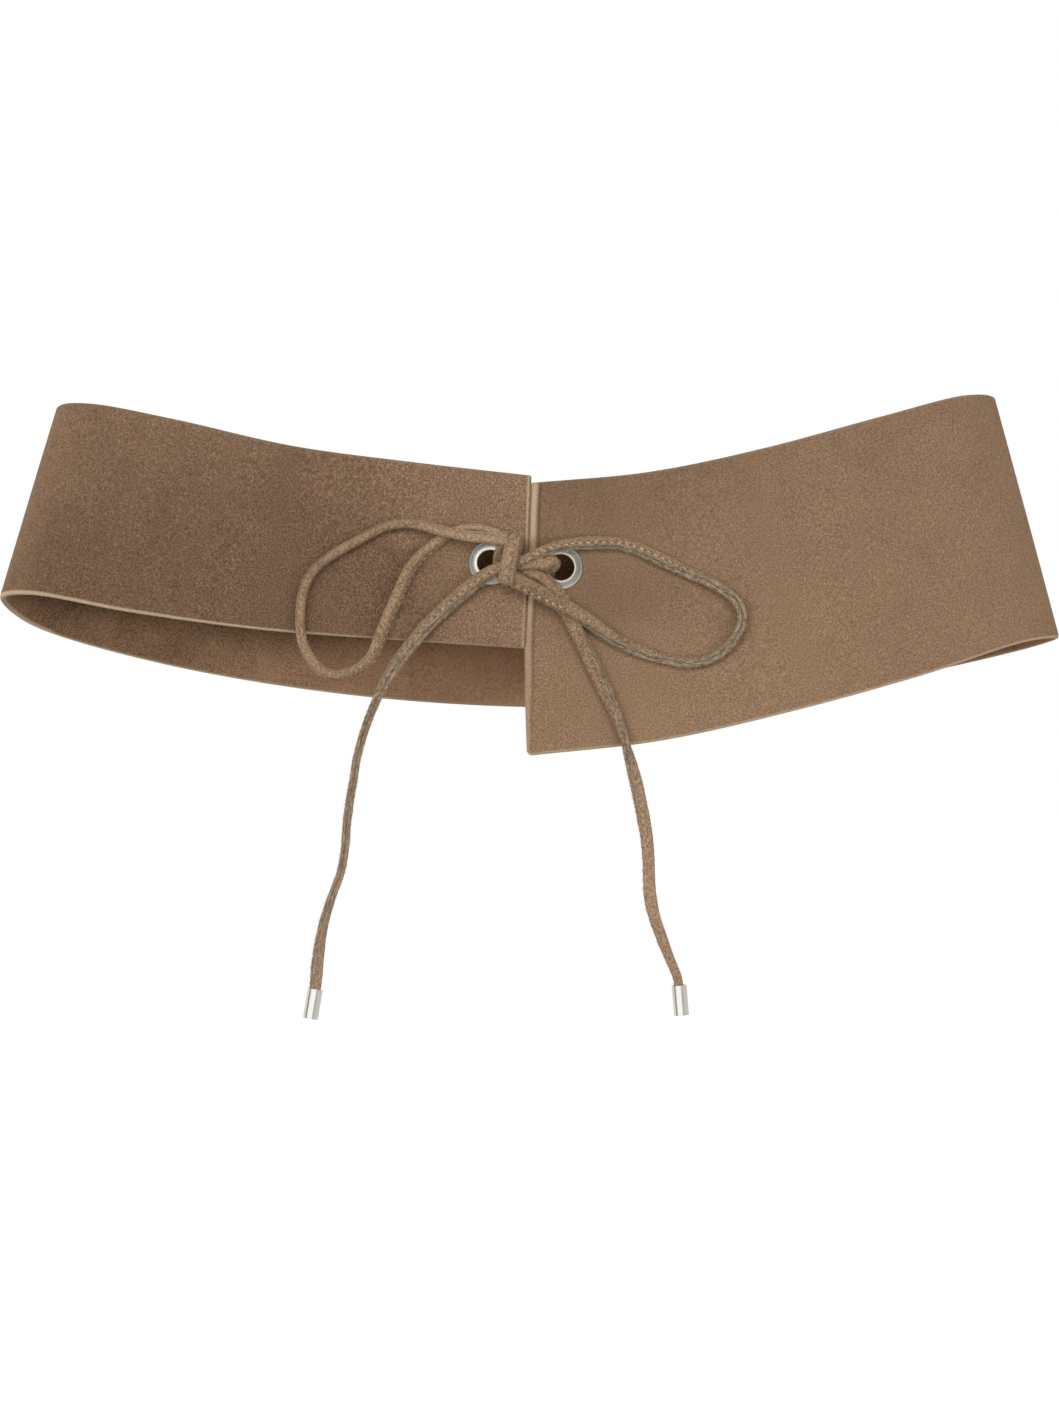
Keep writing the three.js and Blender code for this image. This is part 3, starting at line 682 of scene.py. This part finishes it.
# The right end is skived: its outer face slopes down to a thin lip over a few millimetres, less towards the
# bottom. The left end is cut slanting, in front and behind, and lies just over that lip.
skive = np.interp(level, [0, 0.04, 0.36, 0.4, 0.75, 0.92, 1], [4.3, 4.3, 4.1, 3.6, 3.1, 1.9, 1.5])
slope = np.clip(1 - right_run / skive, 0, 1)
bevel = np.clip(1 - left_run / 1.5, 0, 1)
front = WALL / 2 - 1.5 * slope ** 1.1 - 0.3 * bevel
behind = -WALL / 2 + quarter_round(from_end, 0.4) + 1.45 * bevel
half = (front - behind) / 2
flat = tall - corner_top - corner_low - 2 * half
round_edge = np.concatenate([0 * ones, np.sin(turn), 0 * ones, -np.sin(turn)])
drop = corner_top + half + level * flat + half * round_edge

# The strap isn't quite flat: slow waves of a few tenths of a millimetre, which die away towards its ends
s = run[:, None]
ripple = (0.22 * np.sin(s / 31 + 2.2 * level) + 0.16 * np.sin(s / 17 - 1.7 * level + 1.3)
          + 0.12 * np.sin(s / 53 + 4))
calm = 1 - 0.8 * np.exp(-(from_end / 45) ** 2)
offset = (front + behind) / 2 + half * side + ripple * calm

# The ends aren't cut quite straight: how far each one reaches past its line, from the top to the bottom
right_reach = np.interp(level, [0, 0.1, 0.4, 0.46, 0.6, 0.64, 0.81, 1],
                        [0.7, 1.25, 1.6, 2, 2.3, 2.1, 1.5, 0.4])
left_reach = np.interp(level, [0, 0.2, 0.45, 0.66, 0.77, 1], [0.2, 0.1, 0.3, 0.35, 0.2, -0.1])
reach = right_reach * np.exp(-(right_run / 12) ** 2) - left_reach * np.exp(-(left_run / 12) ** 2)
rings = (top[:, None] + drop[..., None] * down[:, None] + offset[..., None] * outwards[:, None]
         + reach[..., None] * along[:, None])
band = closed_skin("band", rings)

# What is rubbed pale: a line 1 to 2 mm wide along the bottom edge, a trace of the top edge, a line beside
# the left end's cut, and the skived slope of the right end
inside = np.broadcast_to(np.concatenate([0 * ones, turn / np.pi, ones, 1 - turn / np.pi]), drop.shape)
outside = np.clip(side, 0, 1)
from_bottom = tall - corner_low - drop
front_width = np.where(left_run < right_run, np.interp(left_run, [0, 60, 250, 300], [0.8, 0.9, 2.3, 1.8]),
                       np.interp(right_run, [0, 70, 130], [1.3, 1.2, 1.1]))
pale_width = np.where(middle_line[:, 1:2] > 30, 1.0, front_width)
low_edge = (np.clip(2.5 * (1 - from_bottom / pale_width), 0, 1)
            * np.interp(left_run, [0, 30, 110], [0.2, 0.5, 1])
            * np.interp(right_run, [0, 60, 120], [0.8, 0.8, 1]))
top_edge = 0.2 * np.clip(1 - (drop - corner_top) / 1.2, 0, 1)
left_edge = (np.clip(1.5 - np.abs(left_run - 1.3) / 0.4, 0, 1)
             * np.interp(level, [0, 0.4, 0.6, 1], [0.85, 0.6, 0.35, 0.4]) * outside)
ridge = 0.5 + 0.5 * np.exp(-((right_run / skive - 0.52) / 0.4) ** 4)
right_edge = (np.clip(3 * slope, 0, 1) * ridge
              * np.interp(level, [0, 0.35, 0.5, 0.7, 1], [1, 0.92, 0.65, 0.42, 0.5]) * outside)
mark(band, "pale_edge", np.maximum(np.maximum(low_edge, top_edge), np.maximum(left_edge, right_edge)))

# Painted shade: a dark crease line at the head of the skived slope, and a fainter one along the left end's
# cut, where it lies over the slope's lip
slope_crease_shade = (np.exp(-((right_run - skive - 0.5) / 0.45) ** 2)
                * np.interp(level, [0, 0.7, 0.95], [0.6, 0.4, 0.1]))
mark(band, "painted_crease_shade", (slope_crease_shade + 0.4 * np.exp(-(left_run / 0.3) ** 2)) * outside)
mark(band, "inside", inside)

# The way the nap lies changes from section to section. Two darker patches level with the bow's loops are
# painted shade of the loops, each given by x, z, half its width and height, and how much darker, and one
# paler patch on the inside is painted light. The speckle is coarser on the left half and in the dark
# patches.
LOOP_SHADE_PATCHES = [(-72, -4, 26, 20, 0.65), (48, -12, 30, 14, 0.25)]
INSIDE_LIGHT_PATCH = (-30, -32, 70, 12, 0.38)
x_of, z_of = rings[..., 0], rings[..., 2]
nap_and_painted_light = nap_and_light_rows[:, :1] * (1 - level) + nap_and_light_rows[:, 1:] * level
coarse = np.interp(s / run[-1], [0, 0.4, 0.6, 1], [3.3, 3.3, 2.3, 2.2])
# Painted shade of the loops: each patch darkens the nap
for x, z, wide, high, darker in LOOP_SHADE_PATCHES:
    patch = darker * np.exp(-((x_of - x) / wide) ** 2 - ((z_of - z) / high) ** 2)
    nap_and_painted_light, coarse = nap_and_painted_light - patch, coarse + 0.7 * patch
# Painted light: the inside is drawn paler just below the front panel's lower edge, lifting the shade there
x, z, wide, high, paler = INSIDE_LIGHT_PATCH
nap_and_painted_light = nap_and_painted_light + paler * inside * np.exp(-((x_of - x) / wide) ** 2 - ((z_of - z) / high) ** 2)
# The stored nap also carries the painted shade and light set above
mark(band, "nap", nap_and_painted_light)
mark(band, "coarse", coarse)

# The two eyelet holes are punched with a round tool
for name, node, x, z in EYELETS:
    sides = np.linspace(0, 2 * np.pi, 64, endpoint=False)
    disc = np.stack([x + HOLE_RADIUS * np.cos(sides), 0 * sides, z + HOLE_RADIUS * np.sin(sides)], -1)
    punch = closed_skin("punch", np.stack([disc + (0, PANEL_DEPTH - PUNCH_REACH, 0),
                                           disc + (0, PANEL_DEPTH + PUNCH_REACH, 0)]))
    cutter = band.modifiers.new("hole", "BOOLEAN")
    cutter.object = punch
    cutter.operation = "DIFFERENCE"
    cutter.solver = "EXACT"
    punched = bpy.data.meshes.new_from_object(band.evaluated_get(bpy.context.evaluated_depsgraph_get()))
    band.modifiers.clear()
    band.data = punched
    bpy.data.objects.remove(punch)
band.data.name = "band"
band.data.shade_smooth()

# Napped suede on both faces: matt, darker or paler by the way the nap lies and by painted shade and light,
# in soft strokes 30 mm across, with a fine speckle of tufts, edges that are rubbed pale and lines of painted
# shade. The real tufts are too fine to show, so they are drawn 0.8 mm across, and they drift between olive
# and rose over 2 mm.
suede, tree, shader = new_material("napped_suede", {
    "Roughness": 0.95, "Specular IOR Level": 0.1, "Sheen Weight": 0.1, "Sheen Roughness": 0.45,
    "Sheen Tint": linear("#dcc4a6")})
place = add_node(tree, "TexCoord", {}).outputs["Object"]
nap_and_light_way, coarseness, pale_edge, painted_crease_shade, inner = (
    add_node(tree, "Attribute", {}, attribute_name=label).outputs["Fac"]
    for label in ("nap", "coarse", "pale_edge", "painted_crease_shade", "inside"))
strokes = add_node(tree, "TexNoise", {
    "Vector": place, "Scale": 34, "Detail": 3, "Roughness": 0.55, "Distortion": 0.6}).outputs["Fac"]
tufts = add_node(tree, "TexNoise", {
    "Vector": place, "Scale": 1250, "Detail": 3, "Roughness": 0.7}).outputs["Fac"]
hue = add_node(tree, "TexNoise", {
    "Vector": place, "Scale": 520, "Detail": 3, "Roughness": 0.75}).outputs["Fac"]
soft_strokes = add_node(tree, "Math", {0: strokes, 1: 0.6, 2: -0.3}, operation="MULTIPLY_ADD").outputs[0]
nap_strokes_and_light = add_node(tree, "Math", {0: nap_and_light_way, 1: soft_strokes}, operation="ADD").outputs[0]
lies = add_node(tree, "Clamp", {"Value": nap_strokes_and_light, "Min": 0.03, "Max": 1.1}).outputs[0]
outer_nap = add_node(tree, "Mix", {"Factor": lies, 6: linear("#745a47"), 7: linear("#9d7f64")},
                     data_type="RGBA", clamp_factor=False).outputs[2]
hue_drift = add_node(tree, "MapRange", {
    "Value": hue, "From Min": 0.38, "From Max": 0.62}).outputs["Result"]
tint = add_node(tree, "Mix", {
    "Factor": hue_drift, 6: linear("#7d6f50"), 7: linear("#8f6a5a")}, data_type="RGBA").outputs[2]
tinted = add_node(tree, "Mix", {"Factor": 0.15, 6: outer_nap, 7: tint}, data_type="RGBA").outputs[2]

# Outside, each tuft's factor on the nap's colour is e to the power of its height times the coarseness
tuft_height = add_node(tree, "Math", {0: tufts, 1: 0.5}, operation="SUBTRACT").outputs[0]
tuft_power = add_node(tree, "Math", {0: tuft_height, 1: coarseness}, operation="MULTIPLY").outputs[0]
fleck = add_node(tree, "Math", {0: tuft_power}, operation="EXPONENT").outputs[0]
outer_tone = add_node(tree, "VectorMath", {0: tinted, "Scale": fleck}, operation="SCALE").outputs[0]
inner_tufts = add_node(tree, "Math", {0: tufts, 1: 1.7, 2: -0.85}, operation="MULTIPLY_ADD").outputs[0]
inner_nap = add_node(tree, "Math", {
    0: nap_strokes_and_light, 1: inner_tufts}, operation="ADD", use_clamp=True).outputs[0]
inner_tone = add_node(tree, "Mix", {
    "Factor": inner_nap, 6: linear("#5c4431"), 7: linear("#d0a581")}, data_type="RGBA").outputs[2]
edge_tone = add_node(tree, "Mix", {
    "Factor": tufts, 6: linear("#b09374"), 7: linear("#e4cdac")}, data_type="RGBA").outputs[2]
faces = add_node(tree, "Mix", {"Factor": inner, 6: outer_tone, 7: inner_tone}, data_type="RGBA").outputs[2]
# The crease lines are painted shade, mixed into the face colour
crease_shaded = add_node(tree, "Mix", {
    "Factor": painted_crease_shade, 6: faces, 7: linear("#4e3a2b")}, data_type="RGBA").outputs[2]
surface = add_node(tree, "Mix", {
    "Factor": pale_edge, 6: crease_shaded, 7: edge_tone}, data_type="RGBA").outputs[2]
bump = add_node(tree, "Bump", {"Height": tufts, "Strength": 0.35, "Distance": 0.0004}).outputs["Normal"]
tree.links.new(surface, shader.inputs["Base Color"])
tree.links.new(bump, shader.inputs["Normal"])
dressed(band, suede, "suede", "belt_band")

# The eyelets: pressed rings of nickel-plated metal with a rolled lip, set through the suede from in front
# and turned over behind. The section is points of (radius, depth towards the front), from the flange's rim.
EYELET_PROFILE = [
    (9.80, 45.45), (9.96, 45.55), (10.00, 45.84), (9.92, 45.97), (9.76, 46.02), (9.60, 45.97),
    (9.46, 45.93), (9.10, 46.00), (8.70, 46.12), (8.20, 46.23), (7.70, 46.34), (7.30, 46.44),
    (7.00, 46.51), (6.70, 46.54), (6.40, 46.52), (6.16, 46.42), (6.02, 46.20), (6.00, 45.40),
    (6.00, 44.00), (6.00, 42.60), (6.06, 41.95), (6.24, 41.62), (6.50, 41.48), (7.00, 41.45),
    (7.60, 41.48), (8.15, 41.58), (8.38, 41.80), (8.30, 42.08), (8.00, 42.20), (6.90, 42.26),
    (6.80, 42.50), (6.80, 44.00), (6.80, 45.25), (6.95, 45.42), (8.40, 45.44),
]

# How brightly each ring is painted, at distances from its middle: a painted highlight on the rolled inner
# lip and painted shade at the rim, where the flange falls into shade. The flange's low side is painted a
# little brighter.
HIGHLIGHT_RADII = [6.4, 6.8, 7.2, 7.6, 8, 8.4, 9, 9.5, 9.9]
EYELET_HIGHLIGHT = [
    [1, 1, 0.7, 0.38, 0.25, 0.16, 0.13, 0.3, 0],
    [0.7, 0.38, 0.22, 0.23, 0.22, 0.19, 0.22, 0.28, 0],
]

# Satin nickel plate: a soft blurred shine, with a haze 3 mm across; its colour runs from dull grey to near
# white by the painted highlight and shade
nickel, tree, shader = new_material("satin_nickel_plate", {"Metallic": 0.6})
place = add_node(tree, "TexCoord", {}).outputs["Object"]
painted_highlight = add_node(tree, "Attribute", {}, attribute_name="painted_highlight").outputs["Fac"]
haze = add_node(tree, "TexNoise", {"Vector": place, "Scale": 300, "Detail": 3}).outputs["Fac"]
gloss = add_node(tree, "MapRange", {
    "Value": haze, "From Min": 0.3, "From Max": 0.7, "To Min": 0.24, "To Max": 0.32}).outputs["Result"]
bump = add_node(tree, "Bump", {"Height": haze, "Strength": 0.05, "Distance": 0.0004}).outputs["Normal"]
shine = add_node(tree, "Mix", {
    "Factor": painted_highlight, 6: linear("#4c4840"), 7: linear("#f6f0e2")}, data_type="RGBA").outputs[2]
tree.links.new(shine, shader.inputs["Base Color"])
tree.links.new(gloss, shader.inputs["Roughness"])
tree.links.new(bump, shader.inputs["Normal"])
for (name, node, x, z), highlight in zip(EYELETS, EYELET_HIGHLIGHT):
    rings = turned_ring(EYELET_PROFILE, 96)
    placed = np.stack([rings[..., 0] + x, -rings[..., 2], rings[..., 1] + z], -1)
    eyelet = closed_skin(name, placed, joined=True)
    radius = np.hypot(rings[..., 0], rings[..., 1])
    low = np.clip(-rings[..., 1] / radius, 0, 1) * np.clip((radius - 7.8) / 1.6, 0, 1)
    # Painted highlight and shade, stored on each ring
    mark(eyelet, "painted_highlight", np.interp(radius, HIGHLIGHT_RADII, highlight) + 0.2 * low)
    dressed(eyelet, nickel, "eyelet_metal", node)

# The studio: white paper all round, three lights in front, one of them raised and one low, and one at each
# side. No lamp hangs above, so the belt's hollow stays darker than its front. The metal sees a pale room
# with a bright window in front, a little to the left, and a dark upright on either side of it.
FLOOR_HALF = 9
FLOOR_LEVEL = -0.42
floor_corners = [(x * FLOOR_HALF, y * FLOOR_HALF, FLOOR_LEVEL)
                 for x, y in ((-1, -1), (1, -1), (1, 1), (-1, 1))]
floor_mesh = bpy.data.meshes.new("floor")
floor_mesh.from_pydata(floor_corners, [], [(0, 1, 2, 3)])
floor = bpy.data.objects.new("floor", floor_mesh)
bpy.context.scene.collection.objects.link(floor)
# The floor neither lights the belt nor is mirrored in its metal
floor.visible_diffuse = False
floor.visible_glossy = False
paper, tree, shader = new_material("white_paper", {
    "Base Color": linear("#f4f4f4"), "Roughness": 0.9, "Emission Color": (1, 1, 1, 1),
    "Emission Strength": 0.7})
floor_mesh.materials.append(paper)

world = bpy.data.worlds.new("surround")
bpy.context.scene.world = world
world.use_nodes = True
tree = world.node_tree
# The room's own light is even from behind. From in front it is brighter near the level and faint above that
looking = add_node(tree, "TexCoord", {}).outputs["Generated"]
part = add_node(tree, "SeparateXYZ", {"Vector": looking}).outputs
forward = add_node(tree, "Math", {0: part["Y"], 1: -1}, operation="MULTIPLY").outputs[0]
compass = add_node(tree, "Math", {0: part["X"], 1: forward}, operation="ARCTAN2").outputs[0]
raised = add_node(tree, "Math", {0: part["Z"], 1: 0.1}, operation="ADD").outputs[0]
height = add_node(tree, "Math", {0: raised}, operation="ABSOLUTE").outputs[0]
room = add_node(tree, "MapRange", {"Value": compass, "From Min": -math.pi, "From Max": math.pi})
bands = add_node(tree, "ValToRGB", {"Fac": room.outputs["Result"]})
# How bright the mirrored room is, in degrees round the compass from the camera's side
BANDS = [(-180, 0.7), (-92, 0.7), (-82, 0.3), (-62, 0.3), (-54, 0.8), (-48, 1), (16, 1), (26, 0.6),
         (30, 0.36), (38, 0.36), (46, 0.54), (118, 0.58), (180, 0.7)]
ramp = bands.color_ramp
for k, (degrees, grey) in enumerate(BANDS):
    stop = ramp.elements[k] if k < 2 else ramp.elements.new(1)
    stop.position = (degrees + 180) / 360
    stop.color = (grey, grey, grey, 1)
front = add_node(tree, "MapRange", {
    "Value": forward, "From Min": -0.1, "From Max": 0.5}, interpolation_type="SMOOTHSTEP").outputs["Result"]
low = add_node(tree, "MapRange", {
    "Value": height, "From Min": 0.2, "From Max": 0.45, "To Min": 0.62, "To Max": 0.04},
    interpolation_type="SMOOTHSTEP").outputs["Result"]
dim = add_node(tree, "Mix", {"Factor": front, 2: 0.42, 3: low}).outputs[0]
seen = add_node(tree, "Background", {"Color": (1, 1, 1, 1), "Strength": 1.0}).outputs[0]
mirrored = add_node(tree, "Background", {"Color": bands.outputs["Color"], "Strength": 1.3}).outputs[0]
ambient = add_node(tree, "Background", {"Color": (1, 1, 1, 1), "Strength": dim}).outputs[0]
ray = add_node(tree, "LightPath", {}).outputs
shiny = add_node(tree, "MixShader", {0: ray["Is Glossy Ray"], 1: ambient, 2: mirrored}).outputs[0]
surround = add_node(tree, "MixShader", {0: ray["Is Camera Ray"], 1: shiny, 2: seen}).outputs[0]
tree.links.new(surround, tree.nodes["World Output"].inputs["Surface"])

for name, spot, size, watts in (
    ("key", (-1.2, -2.15, 0.25), (1.6, 0.4), 15.5),
    ("fill", (1.6, -1.9, -0.4), (1.4, 0.6), 21),
    ("upper", (0, -2.2, 0.8), (2.4, 0.3), 17.5),
    ("left_side", (-2.2, 0.75, 0.1), (0.8, 0.8), 22),
    ("right_side", (2.2, 0.65, 0.1), (0.8, 0.8), 8),
):
    light = bpy.data.lights.new(name, "AREA")
    light.shape = "RECTANGLE"
    light.size, light.size_y = size
    light.energy = watts
    lamp = bpy.data.objects.new(name, light)
    lamp.location = spot
    lamp.visible_glossy = False
    aim = -np.array(spot)
    lamp.rotation_euler = (
        math.acos(-aim[2] / np.linalg.norm(aim)), 0, math.atan2(aim[1], aim[0]) - math.pi / 2)
    bpy.context.scene.collection.objects.link(lamp)

bpy.context.scene.view_settings.view_transform = "Standard"
